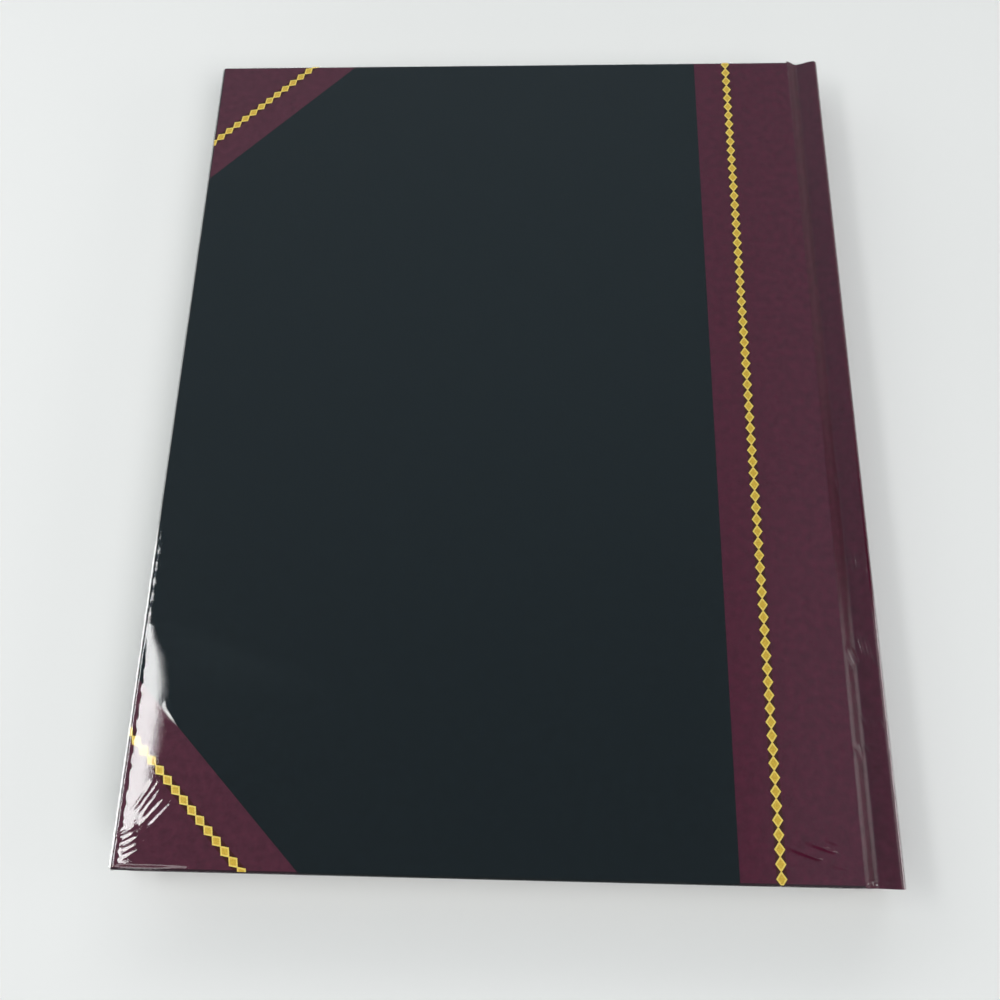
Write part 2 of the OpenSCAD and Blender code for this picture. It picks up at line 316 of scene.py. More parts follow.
class Shader:
    """The nodes of one material, or of the world, with short calls for those that they share."""

    def __init__(self, name, world=False):
        self.mat = bpy.data.worlds.new(name) if world else bpy.data.materials.new(name)
        self.mat.use_nodes = True
        self.tree = self.mat.node_tree
        self.tree.nodes.clear()
        self.out = self.node("ShaderNodeOutputWorld" if world else "ShaderNodeOutputMaterial")

    def node(self, kind, **values):
        made = self.tree.nodes.new(kind)
        for key, value in values.items():
            setattr(made, key, value)
        return made

    def link(self, source, target):
        self.tree.links.new(source, target)

    def put(self, target, value):
        """Sets a socket to a number or colour, or links it to another socket."""
        if isinstance(value, bpy.types.NodeSocket):
            self.link(value, target)
        else:
            target.default_value = value

    def coords(self, scale=(1, 1, 1)):
        place = self.node("ShaderNodeTexCoord").outputs["Object"]
        if tuple(scale) == (1, 1, 1):
            return place
        mapping = self.node("ShaderNodeMapping")
        mapping.inputs["Scale"].default_value = scale
        self.link(place, mapping.inputs["Vector"])
        return mapping.outputs["Vector"]

    def axes(self, kind="Object"):
        split = self.node("ShaderNodeSeparateXYZ")
        self.link(self.node("ShaderNodeTexCoord").outputs[kind], split.inputs[0])
        return split.outputs

    def rest_axes(self):
        """The place that each point of a bending piece has at rest, which keep_rest puts in its mesh."""
        split = self.node("ShaderNodeSeparateXYZ")
        kept = self.node("ShaderNodeAttribute", attribute_name=REST_PLACE)
        self.link(kept.outputs["Vector"], split.inputs[0])
        return split.outputs

    def math(self, operation, a, b=0.0, clamp=False):
        made = self.node("ShaderNodeMath", operation=operation, use_clamp=clamp)
        self.put(made.inputs[0], a)
        self.put(made.inputs[1], b)
        return made.outputs[0]

    def noise(self, scale, detail=3.0, roughness=0.5, stretch=(1, 1, 1)):
        made = self.node("ShaderNodeTexNoise")
        self.link(self.coords(stretch), made.inputs["Vector"])
        made.inputs["Scale"].default_value = scale
        made.inputs["Detail"].default_value = detail
        made.inputs["Roughness"].default_value = roughness
        return made.outputs["Fac"]

    def ramp(self, value, stops):
        made = self.node("ShaderNodeValToRGB")
        self.link(value, made.inputs["Fac"])
        ramp = made.color_ramp
        while len(ramp.elements) < len(stops):
            ramp.elements.new(0.5)
        for element, (at, colour) in zip(ramp.elements, stops):
            element.position = at
            element.color = (*colour, 1.0)
        return made.outputs["Color"]

    def mix(self, factor, a, b):
        made = self.node("ShaderNodeMix", data_type="RGBA")
        self.put(made.inputs["Factor"], factor)
        self.put(made.inputs["A"], a if isinstance(a, bpy.types.NodeSocket) else (*a, 1.0))
        self.put(made.inputs["B"], b if isinstance(b, bpy.types.NodeSocket) else (*b, 1.0))
        return made.outputs["Result"]

    def step(self, value, edge, soft):
        """0 where value is under edge, 1 above it, over a soft width."""
        made = self.node("ShaderNodeMapRange", interpolation_type="SMOOTHSTEP")
        self.put(made.inputs["Value"], value)
        made.inputs["From Min"].default_value = edge - soft / 2
        made.inputs["From Max"].default_value = edge + soft / 2
        return made.outputs["Result"]

    def bump(self, height, strength, depth):
        made = self.node("ShaderNodeBump")
        made.inputs["Strength"].default_value = strength
        made.inputs["Distance"].default_value = depth
        self.link(height, made.inputs["Height"])
        return made.outputs["Normal"]

    def principled(self, colour, roughness, normal=None, metallic=0.0, specular=0.5):
        made = self.node("ShaderNodeBsdfPrincipled")
        self.put(made.inputs["Base Color"], colour)
        self.put(made.inputs["Roughness"], roughness)
        made.inputs["Metallic"].default_value = metallic
        made.inputs["Specular IOR Level"].default_value = specular
        if normal is not None:
            self.link(normal, made.inputs["Normal"])
        self.link(made.outputs["BSDF"], self.out.inputs["Surface"])
        return self.mat


def leather_grain(shader):
    """Height of a fine pressed leather grain."""
    cells = shader.node("ShaderNodeTexVoronoi", feature="SMOOTH_F1")
    shader.link(shader.coords(), cells.inputs["Vector"])
    cells.inputs["Scale"].default_value = LEATHER_SCALE
    cells.inputs["Smoothness"].default_value = 0.4
    fine = shader.noise(LEATHER_FINE_SCALE, 2.0)
    return shader.math("ADD", cells.outputs["Distance"], shader.math("MULTIPLY", fine, 0.35))


def chain_band(shader, colour, band):
    """Colour with the dark line under a diamond chain, where x * band[0] + y * band[1] is about band[2]."""
    place = shader.axes()
    by_x = shader.math("MULTIPLY", place["X"], band[0])
    by_y = shader.math("MULTIPLY", place["Y"], band[1])
    away = shader.math("ABSOLUTE", shader.math("SUBTRACT", shader.math("ADD", by_x, by_y), band[2]))
    return shader.mix(shader.step(away, BAND_HALF, BAND_SOFT), BAND, colour)


def paint_edge_shade(shader, colour, dark):
    """Colour with painted shade where the covering turns over the edges of the board: a darker colour stands
    in for the shade that falls there.
    """
    off_middle = shader.math("ABSOLUTE", shader.math("SUBTRACT", shader.axes()["Z"], THICK / 2))
    unshaded_top = shader.step(off_middle, COVERED_Z - THICK / 2 - PAINTED_SHADE_DROP, PAINTED_SHADE_DROP)
    return shader.mix(unshaded_top, tuple(PAINTED_EDGE_SHADE * c for c in dark), colour)


def covering_material(name, dark, light, band=None, edge=True):
    """Pressed covering sheet, with the dark line of a diamond chain if band is given, and painted shade on
    the turned edges if edge is set.
    """
    s = Shader(name)
    colour = s.ramp(s.noise(COVERING_SCALE, 4.0, 0.65), [(0.3, dark), (0.7, light)])
    if band:
        colour = chain_band(s, colour, band)
    # Painted shade: the colour darkens on the turned edges of the board
    if edge:
        colour = paint_edge_shade(s, colour, dark)
    rough = s.node("ShaderNodeMapRange")
    s.link(s.noise(SHEEN_SCALE, 3.0), rough.inputs["Value"])
    rough.inputs["To Min"].default_value = COVERING_SMOOTH
    rough.inputs["To Max"].default_value = COVERING_ROUGH
    normal = s.bump(leather_grain(s), 0.35, 0.06 * MM)
    return s.principled(colour, rough.outputs["Result"], normal, specular=0.05)


def gold_material(name, colour, shade, hatch):
    s = Shader(name)
    tone = s.ramp(s.noise(GOLD_SCALE, 3.0), [(0.35, shade), (0.65, colour)])
    place = s.axes()
    slant = s.math("ADD", place["X"], place["Y"])
    lines = s.math("SINE", s.math("MULTIPLY", slant, 2 * math.pi / HATCH_PITCH))
    if hatch:
        tone = s.mix(s.math("MULTIPLY", s.step(lines, 0.25, 0.9), 0.5), tone, shade)
    return s.principled(tone, 0.38, s.bump(lines, 0.2 if hatch else 0.05, 0.02 * MM), metallic=0.15)


def paper_tone(shader, base, fade=0.04):
    """Paper colour with a little cloudiness and fibre."""
    low = tuple(c * (1 - fade) for c in base)
    cloud = shader.ramp(shader.noise(CLOUD_SCALE, 4.0), [(0.35, low), (0.65, base)])
    fibre = shader.noise(FIBRE_SCALE, 2.0)
    return cloud, fibre


def endpaper_material():
    s = Shader("endpaper")
    tone, fibre = paper_tone(s, ENDPAPER_TONE)
    return s.principled(tone, 0.85, s.bump(fibre, 0.12, 0.03 * MM), specular=0.2)


def line_mask(shader, value, at, half):
    """1 within half of the value at, else 0."""
    away = shader.math("ABSOLUTE", shader.math("SUBTRACT", value, at))
    return shader.math("SUBTRACT", 1.0, shader.step(away, half, half * 0.6))


def ruled_face(shader, tone):
    """Paper tone with its blue rules and red lines."""
    place = shader.rest_axes()
    top = HEAD_Y - RULE_TOP
    ruled = shader.math("LESS_THAN", place["Y"], top)
    cycle = shader.math("FRACT", shader.math("DIVIDE", shader.math("SUBTRACT", top, place["Y"]), RULE_PITCH))
    rules = shader.math("MULTIPLY", line_mask(shader, cycle, 0.5, RULE_HALF), ruled)
    tone = shader.mix(shader.math("MULTIPLY", rules, RULE_INK), tone, BLUE_INK)
    red_lines = [line_mask(shader, place["Y"], top + HEAD_LINE_RISE, HEAD_LINE_HALF)]
    for offset in (0.0, MARGIN_GAP):
        red_lines.append(line_mask(shader, place["X"], FORE_X + MARGIN + offset, MARGIN_HALF))
    for line in red_lines:
        tone = shader.mix(shader.math("MULTIPLY", line, RULE_INK), tone, RED_INK)
    return tone


def ruled_material():
    s = Shader("ruled_paper")
    tone, fibre = paper_tone(s, PAGE_TONE)
    return s.principled(ruled_face(s, tone), 0.85, s.bump(fibre, 0.1, 0.03 * MM), specular=0.2)


def leaf_edge_material():
    """Cut edges of the leaves, with fine streaks along them."""
    s = Shader("leaf_edges")
    streak = s.noise(1.0, 2.0, 0.6, stretch=(25.0, 25.0, 9000.0))
    tone = s.ramp(streak, [(0.35, LEAF_EDGE_DARK), (0.62, LEAF_EDGE_LIGHT)])
    return s.principled(tone, 0.85, s.bump(s.noise(FIBRE_SCALE, 2.0), 0.1, 0.03 * MM), specular=0.2)


def board_material():
    s = Shader("greyboard")
    speck = s.ramp(s.noise(LEATHER_SCALE, 5.0, 0.7), [(0.35, BOARD_DARK), (0.65, BOARD_LIGHT)])
    return s.principled(speck, 0.9, s.bump(s.noise(SHEEN_SCALE, 4.0), 0.3, 0.08 * MM), specular=0.2)


def weave_material(name, thread, gap, pitch):
    """Plain weave of two thread directions along Y and across it."""
    s = Shader(name)
    place = s.axes()
    turn = 2 * math.pi / pitch
    up = s.math("SINE", s.math("MULTIPLY", place["Y"], turn))
    across = s.math("SINE", s.math("MULTIPLY", s.math("ADD", place["X"], place["Z"]), turn))
    cross = s.math("MAXIMUM", up, across)
    level = s.math("ADD", s.math("MULTIPLY", cross, 0.5), 0.5, clamp=True)
    tone = s.ramp(level, [(0.1, gap), (0.6, thread)])
    return s.principled(tone, 0.9, s.bump(cross, 0.4, 0.08 * MM), specular=0.2)


def kraft_material():
    s = Shader("lining_paper")
    fibres = s.noise(KRAFT_SCALE, 5.0, 0.7, stretch=(1, 0.15, 1))
    tone = s.ramp(fibres, [(0.3, KRAFT_DARK), (0.7, KRAFT_LIGHT)])
    return s.principled(tone, 0.85, s.bump(s.noise(LEATHER_SCALE), 0.15, 0.03 * MM), specular=0.2)


def film_material(name, roughness, grain):
    """Clear film: what is behind it, under a reflection from each of its faces, broken by a fine grain."""
    s = Shader(name)
    clear = s.node("ShaderNodeBsdfTransparent")
    shine = s.node("ShaderNodeBsdfGlossy")
    shine.inputs["Roughness"].default_value = roughness
    shine.inputs["Color"].default_value = (1.0, 1.0, 1.0, 1.0)
    s.link(s.bump(s.noise(FILM_SCALE, 2.0), grain, 0.02 * MM), shine.inputs["Normal"])
    facing = s.node("ShaderNodeLayerWeight").outputs["Facing"]
    grazing = s.math("POWER", facing, 5.0)
    reflected = s.math("ADD", s.math("MULTIPLY", grazing, 1 - FILM_SHINE), FILM_SHINE)
    both = s.node("ShaderNodeMixShader")
    s.link(reflected, both.inputs["Fac"])
    s.link(clear.outputs["BSDF"], both.inputs[1])
    s.link(shine.outputs["BSDF"], both.inputs[2])
    s.link(both.outputs["Shader"], s.out.inputs["Surface"])
    return s.mat


ROOT_HALF = math.sqrt(0.5)
HEAD_CHAIN_LEG = HEAD_LEG - CHAIN_INSET / ROOT_HALF
TAIL_CHAIN_LEG = TAIL_LEG - CHAIN_INSET / ROOT_HALF
BLACK_COVERING = covering_material("black_covering", BLACK_DARK, BLACK)
BURGUNDY_PLAIN = covering_material("burgundy_covering", SPINE_DARK, SPINE_LIGHT, edge=False)
BURGUNDY_STRIP = covering_material("burgundy_strip", STRIP_DARK, STRIP_LIGHT, (1.0, 0.0, CHAIN_X))
BURGUNDY_HEAD = covering_material(
    "burgundy_head_corner", BURGUNDY_DARK, BURGUNDY,
    (ROOT_HALF, -ROOT_HALF, (FORE_X - HEAD_Y + HEAD_CHAIN_LEG) * ROOT_HALF),
)
BURGUNDY_TAIL = covering_material(
    "burgundy_tail_corner", BURGUNDY_DARK, BURGUNDY,
    (ROOT_HALF, ROOT_HALF, (FORE_X - HEAD_Y + TAIL_CHAIN_LEG) * ROOT_HALF),
)
GOLD_RIM = gold_material("gold_rim", RIM_LIGHT, RIM_DARK, hatch=False)
GOLD_FILL = gold_material("gold_fill", FILL_LIGHT, FILL_DARK, hatch=True)
ENDPAPER = endpaper_material()
RULED = ruled_material()
LEAF_EDGES = leaf_edge_material()
GREYBOARD = board_material()
MULL = weave_material("mull_cloth", MULL_LIGHT, MULL_DARK, MULL_PITCH)
THREAD = weave_material("sewing_thread", THREAD_LIGHT, THREAD_DARK, THREAD_PITCH)
KRAFT = kraft_material()
FILM = film_material("shrink_film", roughness=0.04, grain=0.7)
CLINGING_FILM = film_material("clinging_film", roughness=0.20, grain=1.0)


# Meshes


def reversed_faces(faces):
    return [tuple(reversed(face)) for face in faces]


def turned_over(verts):
    """The same points on the front side of the book."""
    return [(x, y, THICK - z) for x, y, z in verts]


def make_object(name, verts, faces, materials, sharp, front=False, face_materials=None):
    """A mesh object, turned over to the front side if asked, smooth except at sharp edges."""
    if front:
        verts, faces = turned_over(verts), reversed_faces(faces)
    mesh = bpy.data.meshes.new(name)
    mesh.from_pydata([tuple(v) for v in verts], [], faces)
    for material in materials:
        mesh.materials.append(material)
    if face_materials:
        mesh.polygons.foreach_set("material_index", face_materials)
    mesh.update()
    obj = bpy.data.objects.new(name, mesh)
    bpy.context.scene.collection.objects.link(obj)
    smooth(mesh, sharp)
    return obj


def smooth(mesh, sharp):
    mesh.polygons.foreach_set("use_smooth", [True] * len(mesh.polygons))
    mesh.set_sharp_from_angle(angle=math.radians(sharp))


def settle(obj, body, slot, *replaced):
    """Rides a piece on a body and hides the CAD parts that it stands for. Slot is not used."""
    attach(obj, body)
    if replaced:
        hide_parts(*replaced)
    return obj


def bend(obj, moving, slot, start_x, end_x, *replaced):
    """Bakes a piece's place into its mesh and hides the CAD parts that it stands for. Moving, slot, start_x
    and end_x are not used.
    """
    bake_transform(obj)
    if replaced:
        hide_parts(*replaced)
    return obj


def sheet_solid(grid, under):
    """A closed sheet from a grid of upper points and the matching grid of lower points."""
    upper, lower = np.asarray(grid), np.asarray(under)
    across, along = upper.shape[:2]
    count = across * along
    verts = np.concatenate([upper.reshape(-1, 3), lower.reshape(-1, 3)])

    def at(i, j, low=0):
        return low * count + i * along + j

    faces = []
    for i in range(across - 1):
        for j in range(along - 1):
            faces.append((at(i, j), at(i + 1, j), at(i + 1, j + 1), at(i, j + 1)))
            faces.append((at(i, j, 1), at(i, j + 1, 1), at(i + 1, j + 1, 1), at(i + 1, j, 1)))
    for i in range(across - 1):
        faces.append((at(i, 0), at(i, 0, 1), at(i + 1, 0, 1), at(i + 1, 0)))
        faces.append((at(i, along - 1), at(i + 1, along - 1), at(i + 1, along - 1, 1), at(i, along - 1, 1)))
    for j in range(along - 1):
        faces.append((at(0, j), at(0, j + 1), at(0, j + 1, 1), at(0, j, 1)))
        last = across - 1
        faces.append((at(last, j), at(last, j, 1), at(last, j + 1, 1), at(last, j + 1)))
    return [tuple(v) for v in verts], faces


def lines_grid(profile, ys):
    """A grid from a profile of (x, z) points, repeated at each y."""
    return [[(x, y, z) for y in ys] for x, z in profile]


def keep_side(bm, at, normal):
    """Cuts a closed mesh by a plane, keeps what lies against its normal and closes the cut."""
    everything = bm.verts[:] + bm.edges[:] + bm.faces[:]
    bmesh.ops.bisect_plane(bm, geom=everything, dist=1e-7, plane_co=at, plane_no=normal, clear_outer=True)
    rim = [edge for edge in bm.edges if edge.is_boundary]
    if rim:
        bmesh.ops.holes_fill(bm, edges=rim, sides=0)


# The covering of a cover


def cover_outline(inset):
    """Points of the cover's free outline drawn in by inset, from the joint at the head round to the tail."""
    deep = max(inset, CORNER_R)
    radius = max(CORNER_R - inset, 0.0)
    steps = 8
    points = [(BOARD_X, HEAD_Y - inset)]
    for start, sign in ((90, 1), (180, -1)):
        for k in range(steps + 1):
            angle = math.radians(start + 90 * k / steps)
            x = FORE_X + deep + radius * math.cos(angle)
            y = sign * (HEAD_Y - deep) + radius * math.sin(angle)
            points.append((x, y))
    points.append((BOARD_X, -HEAD_Y + inset))
    return points


def arc(centre_inset, centre_z, radius, start, end, steps=5):
    """Profile points (inset, z) round a fold of the covering."""
    points = []
    for k in range(steps + 1):
        angle = math.radians(start + (end - start) * k / steps)
        points.append((centre_inset - radius * math.cos(angle), centre_z + radius * math.sin(angle)))
    return points


def covering_profile():
    """Section of the covering at a free edge: top, rounded edge, side, turn-in, and back along the inside."""
    outside = [(FLAT_INSET, COVERED_Z)]
    outside += arc(EDGE_R, COVERED_Z - EDGE_R, EDGE_R, 90, 0)
    outside += arc(TURN_R, BOARD_IN_Z + TURN_R, TURN_R, 0, -90)
    outside += [(TURN_IN, BOARD_IN_Z)]
    inside = [
        (TURN_IN, BOARD_IN_Z + SHEET_T),
        (SHEET_T, BOARD_IN_Z + SHEET_T),
        (SHEET_T + EDGE_R / 2, COVERED_Z - SHEET_T),
        (FLAT_INSET, COVERED_Z - SHEET_T),
    ]
    return outside + inside


def covering_bmesh():
    """The whole covering of the back board as one closed mesh."""
    profile = covering_profile()
    rings = [[(x, y, z) for x, y in cover_outline(inset)] for inset, z in profile]
    count = len(rings[0])
    bm = bmesh.new()
    rows = [[bm.verts.new(point) for point in ring] for ring in rings]
    for upper, lower in zip(rows, rows[1:]):
        for i in range(count - 1):
            bm.faces.new((upper[i], lower[i], lower[i + 1], upper[i + 1]))
    first, last = rows[0], rows[-1]
    bm.faces.new(first)
    bm.faces.new(list(reversed(last)))
    bm.faces.new((first[0], first[-1], last[-1], last[0]))
    bm.faces.new([row[0] for row in reversed(rows)])
    bm.faces.new([row[-1] for row in rows])
    bmesh.ops.remove_doubles(bm, verts=bm.verts, dist=1e-7)
    bmesh.ops.dissolve_degenerate(bm, edges=bm.edges, dist=1e-8)
    bmesh.ops.recalc_face_normals(bm, faces=bm.faces)
    return bm


STRIP_CUT = ((STRIP_X, 0, 0), (1, 0, 0))
HEAD_CUT = ((FORE_X + HEAD_LEG, HEAD_Y, 0), (-ROOT_HALF, ROOT_HALF, 0))
TAIL_CUT = ((FORE_X + TAIL_LEG, -HEAD_Y, 0), (-ROOT_HALF, -ROOT_HALF, 0))


def other_side(cut):
    return cut[0], tuple(-c for c in cut[1])


ZONES = {
    "panel": ((STRIP_CUT, HEAD_CUT, TAIL_CUT), BLACK_COVERING, "black_covering"),
    "spine_strip": ((other_side(STRIP_CUT),), BURGUNDY_STRIP, "burgundy_covering"),
    "corner_head": ((other_side(HEAD_CUT),), BURGUNDY_HEAD, "burgundy_covering"),
    "corner_tail": ((other_side(TAIL_CUT),), BURGUNDY_TAIL, "burgundy_covering"),
}


def add_covering(side):
    front = side == "front"
    for zone, (cuts, material, slot) in ZONES.items():
        bm = covering_bmesh()
        for at, normal in cuts:
            keep_side(bm, at, normal)
        bm.verts.index_update()
        verts = [tuple(v.co) for v in bm.verts]
        faces = [tuple(v.index for v in face.verts) for face in bm.faces]
        bm.free()
        node = f"{side}_{zone}"
        obj = make_object(f"{node}_covering", verts, faces, [material], SHARP_COVERING, front)
        settle(obj, f"{side}_cover", slot, node)


# The gold chains


def diamond(centre, along):
    """Points, faces and face materials of one diamond: a light rim, a hatched middle, sides, an underside."""
    along = Vector(along)
    across = Vector((-along.y, along.x))
    tip = (DIAMOND_L - DIAMOND_GAP) / 2
    wide = DIAMOND_W / 2
    neck = DIAMOND_NECK / 2

    def ring(share, z):
        flat = [(tip, neck), (tip, -neck), (0, -wide), (-tip, -neck), (-tip, neck), (0, wide)]
        spots = [Vector(centre) + along * a * share + across * c * share for a, c in flat]
        return [(p.x, p.y, z) for p in spots]

    top = COVERED_Z + GOLD_T
    verts = ring(1.0, COVERED_Z) + ring(1.0, top) + ring(DIAMOND_RIM, top)
    faces = [tuple(range(6)), tuple(range(17, 11, -1))]
    kinds = [0, 1]
    for k in range(6):
        n = (k + 1) % 6
        faces.append((k, k + 6, n + 6, n))
        faces.append((k + 6, k + 12, n + 12, n + 6))
        kinds += [0, 0]
    return verts, faces, kinds


def chain_centres():
    """Centre and direction of every diamond on one cover."""
    spots = []
    for k in range(math.ceil(2 * HEAD_Y / DIAMOND_L)):
        spots.append(((CHAIN_X, -HEAD_Y + (k + 0.5) * DIAMOND_L), (0, 1)))
    for leg, sign in ((HEAD_CHAIN_LEG, 1), (TAIL_CHAIN_LEG, -1)):
        for k in range(math.ceil(leg / ROOT_HALF / DIAMOND_L) + 1):
            run = k * DIAMOND_L * ROOT_HALF
            spots.append(((FORE_X + run, sign * (HEAD_Y - leg + run)), (ROOT_HALF, sign * ROOT_HALF)))
    return spots


def add_gold(side):
    bm = bmesh.new()
    for centre, along in chain_centres():
        verts, faces, kinds = diamond(centre, along)
        made = [bm.verts.new(v) for v in verts]
        for face, kind in zip(faces, kinds):
            bm.faces.new([made[i] for i in face]).material_index = kind
    for at, normal in (
        ((0, HEAD_Y - CHAIN_EDGE, 0), (0, 1, 0)),
        ((0, -HEAD_Y + CHAIN_EDGE, 0), (0, -1, 0)),
        ((FORE_X + CHAIN_EDGE, 0, 0), (-1, 0, 0)),
    ):
        keep_side(bm, at, normal)
    bmesh.ops.recalc_face_normals(bm, faces=bm.faces)
    bm.verts.index_update()
    verts = [tuple(v.co) for v in bm.verts]
    faces = [tuple(v.index for v in face.verts) for face in bm.faces]
    kinds = [face.material_index for face in bm.faces]
    bm.free()
    node = f"{side}_gold_chain"
    materials = [GOLD_RIM, GOLD_FILL]
    obj = make_object(f"{node}_diamonds", verts, faces, materials, SHARP_GOLD, side == "front", kinds)
    settle(obj, f"{side}_cover", "gold_foil", node)


# The joint beside the spine


def ease(t):
    """0 to 1, soft at both ends."""
    return 0.3 * t + 0.7 * (1 - math.cos(math.pi * t)) / 2


def groove_profile(lift=0.0, share=1.0, steps=20):
    """(x, z) from the board through the groove to the shoulder, raised by lift, with a share of its depth."""
    depth = GROOVE_DEPTH * share
    top = COVERED_Z + lift
    left = [(BOARD_X + (GROOVE_X - BOARD_X) * k / steps, top - depth * ease(k / steps)) for k in range(steps)]
    right = [
        (GROOVE_X + (SHOULDER_X - GROOVE_X) * k / steps, top - depth * (1 - ease(k / steps)))
        for k in range(steps + 1)
    ]
    return left + right


def add_joint_covering(side):
    ys = spread(-HEAD_Y, HEAD_Y, LONG_PITCH)
    upper = groove_profile()
    lower = [(x, z - SHEET_T) for x, z in upper]
    verts, faces = sheet_solid(lines_grid(upper, ys), lines_grid(lower, ys))
    node = f"{side}_joint_covering"
    obj = make_object(f"{node}_bend", verts, faces, [BURGUNDY_PLAIN], SHARP_JOINT, side == "front")
    bend(obj, f"{side}_cover", "burgundy_covering", HINGE_X, BOARD_X, node)


def add_joint_sheet(side, part, material, slot):
    """Cloth or endpaper across one joint, as a flat sheet."""
    low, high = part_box(f"back_{part}")
    xs = spread(low.x, high.x, JOINT_PITCH)
    ys = spread(low.y, high.y, LONG_PITCH)
    upper = [(x, high.z) for x in xs]
    lower = [(x, high.z - JOINT_PAPER_T) for x in xs]
    verts, faces = sheet_solid(lines_grid(upper, ys), lines_grid(lower, ys))
    node = f"{side}_{part}"
    obj = make_object(f"{node}_bend", verts, faces, [material], SHARP_JOINT, side == "front")
    bend(obj, f"{side}_cover", slot, HINGE_X, BOARD_X, node)


# The spine


def spine_profile(out, steps=10):
    """(x, z) round the spine from the lower shoulder to the upper, at a distance out from the covering."""
    radius = SHOULDER_R + out
    top = COVERED_Z - SHOULDER_R
    low = THICK - top
    upper = [math.radians(90 * k / steps) for k in range(steps + 1)]
    lower = [math.radians(-90 + 90 * k / steps) for k in range(steps + 1)]
    points = [(SHOULDER_X + radius * math.cos(a), low + radius * math.sin(a)) for a in lower]
    return points + [(SHOULDER_X + radius * math.cos(a), top + radius * math.sin(a)) for a in upper]


def add_spine():
    ys = spread(-HEAD_Y, HEAD_Y, LONG_PITCH)
    outer, inner = spine_profile(0.0), spine_profile(-SHEET_T)
    verts, faces = sheet_solid(lines_grid(inner, ys), lines_grid(outer, ys))
    obj = make_object("spine_covering_wrap", verts, faces, [BURGUNDY_PLAIN], SHARP_JOINT)
    settle(obj, "text_block", "burgundy_covering", "spine_covering")
    for node, material in (
        ("spine_board", GREYBOARD), ("spine_lining", KRAFT), ("spine_mull", MULL), ("sewing_thread", THREAD),
    ):
        dress(node, material)


def dress(node, material):
    """Gives a CAD node that keeps its shape a better material."""
    mesh = nodes[node].data
    mesh.materials.clear()
    mesh.materials.append(material)


# The leaves


def leaf_stack(low, high, count, rng):
    """Points, faces and face materials of thin leaves between two corners, a little unequal in size."""
    pitch = (high.z - low.z) / count
    xs = np.concatenate([[low.x], spread(HINGE_X - BEND_REACH, high.x, BEND_PITCH)])
    pages = 2 * (len(xs) - 1)
    verts, faces, kinds = [], [], []
    for k in range(count):
        row = xs.copy()
        row[0] += rng.uniform(0, LEAF_STRAY)
        stray = rng.uniform(0, LEAF_STRAY)
        ys = (low.y + stray, high.y - stray)
        z0 = low.z + k * pitch
        z1 = z0 + pitch * LEAF_FILL
        upper = lines_grid([(x, z1) for x in row], ys)
        lower = lines_grid([(x, z0) for x in row], ys)
        made, flat = sheet_solid(upper, lower)
        faces += [tuple(i + len(verts) for i in face) for face in flat]
        verts += made
        kinds += [0] * pages + [1] * (len(flat) - pages)
    return verts, faces, kinds


def keep_rest(obj):
    """Keeps each point's place at rest in the mesh, so that the rules stay in place on a leaf that turns."""
    mesh = obj.data
    kept = mesh.attributes.new(REST_PLACE, "FLOAT_VECTOR", "POINT")
    kept.data.foreach_set("vector", [c for vertex in mesh.vertices for c in vertex.co])


def add_sections(rng):
    fold_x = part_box("turning_section_folds")[1].x
    for k in range(1, SECTIONS + 1):
        node = f"section_{k}"
        low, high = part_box(node)
        high.x = fold_x
        verts, faces, kinds = leaf_stack(low, high, LEAVES, rng)
        materials = [RULED, LEAF_EDGES]
        obj = make_object(f"{node}_leaves", verts, faces, materials, SHARP_LEAF, face_materials=kinds)
        keep_rest(obj)
        if node in frame["bodies"]:
            bend(obj, node, "ruled_paper", HINGE_X, HINGE_X - BEND_REACH, node, "turning_section_folds")
        else:
            settle(obj, "text_block", "ruled_paper", node)


def add_flyleaf(side, rng):
    node = f"{side}_flyleaf"
    low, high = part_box("back_flyleaf")
    verts, faces, _ = leaf_stack(low, high, 1, rng)
    obj = make_object(f"{node}_leaf", verts, faces, [ENDPAPER], SHARP_LEAF, side == "front")
    bend(obj, node, "endpaper", HINGE_X, HINGE_X - BEND_REACH, node)


# The shrink film


def smoothstep(t):
    t = np.clip(t, 0.0, 1.0)
    return t * t * (3 - 2 * t)


def fore_edge_lift(x, y):
    """The film stands off the cover beside the fore-edge, near the tail, and falls steeply to both edges."""
    grow = smoothstep((LIFT_GROW_Y - y) / LIFT_GROW)
    shrink = smoothstep((LIFT_SHRINK_Y - y) / LIFT_SHRINK)
    crest = CREST_NEAR + CREST_GROWTH * grow - CREST_SHRINKAGE * shrink
    inward = np.clip(x - FORE_X - CORNER_R - FLAT_BORDER, 0, None)
    rise = 1 - (np.clip(crest - inward, 0, None) / crest) ** 3
    fall = 1 - smoothstep((inward - crest) / (2 * crest))
    tail_end = smoothstep((y + HEAD_Y - CORNER_R) / LIFT_TAIL_FADE)
    head_end = smoothstep((LIFT_HEAD_Y - y) / LIFT_HEAD_FADE)
    short, long = PUCKER_PITCHES
    puckers = np.abs(np.sin(y * math.pi / short) * np.sin(y * math.pi / long))
    steep = grow * STEEP_LIFT * smoothstep(inward / (STEEP_REACH * (0.6 + puckers)))
    height = (LIFT_SLOPE * crest * rise + steep) * fall
    loose = (1 - grow) ** 4 * (1 - puckers)
    return height * tail_end * head_end * (1 - loose)


def ridge(x, y, start, run, height, width):
    """One wrinkle: a ridge that rises and dies away along its run."""
    along = ((x - start.x) * run.x + (y - start.y) * run.y) / run.length_squared
    along = np.clip(along, 0.0, 1.0)
    away = np.hypot(x - start.x - along * run.x, y - start.y - along * run.y)
    return height * np.sqrt(np.sin(math.pi * along)) * np.exp(-((away / width) ** 2))


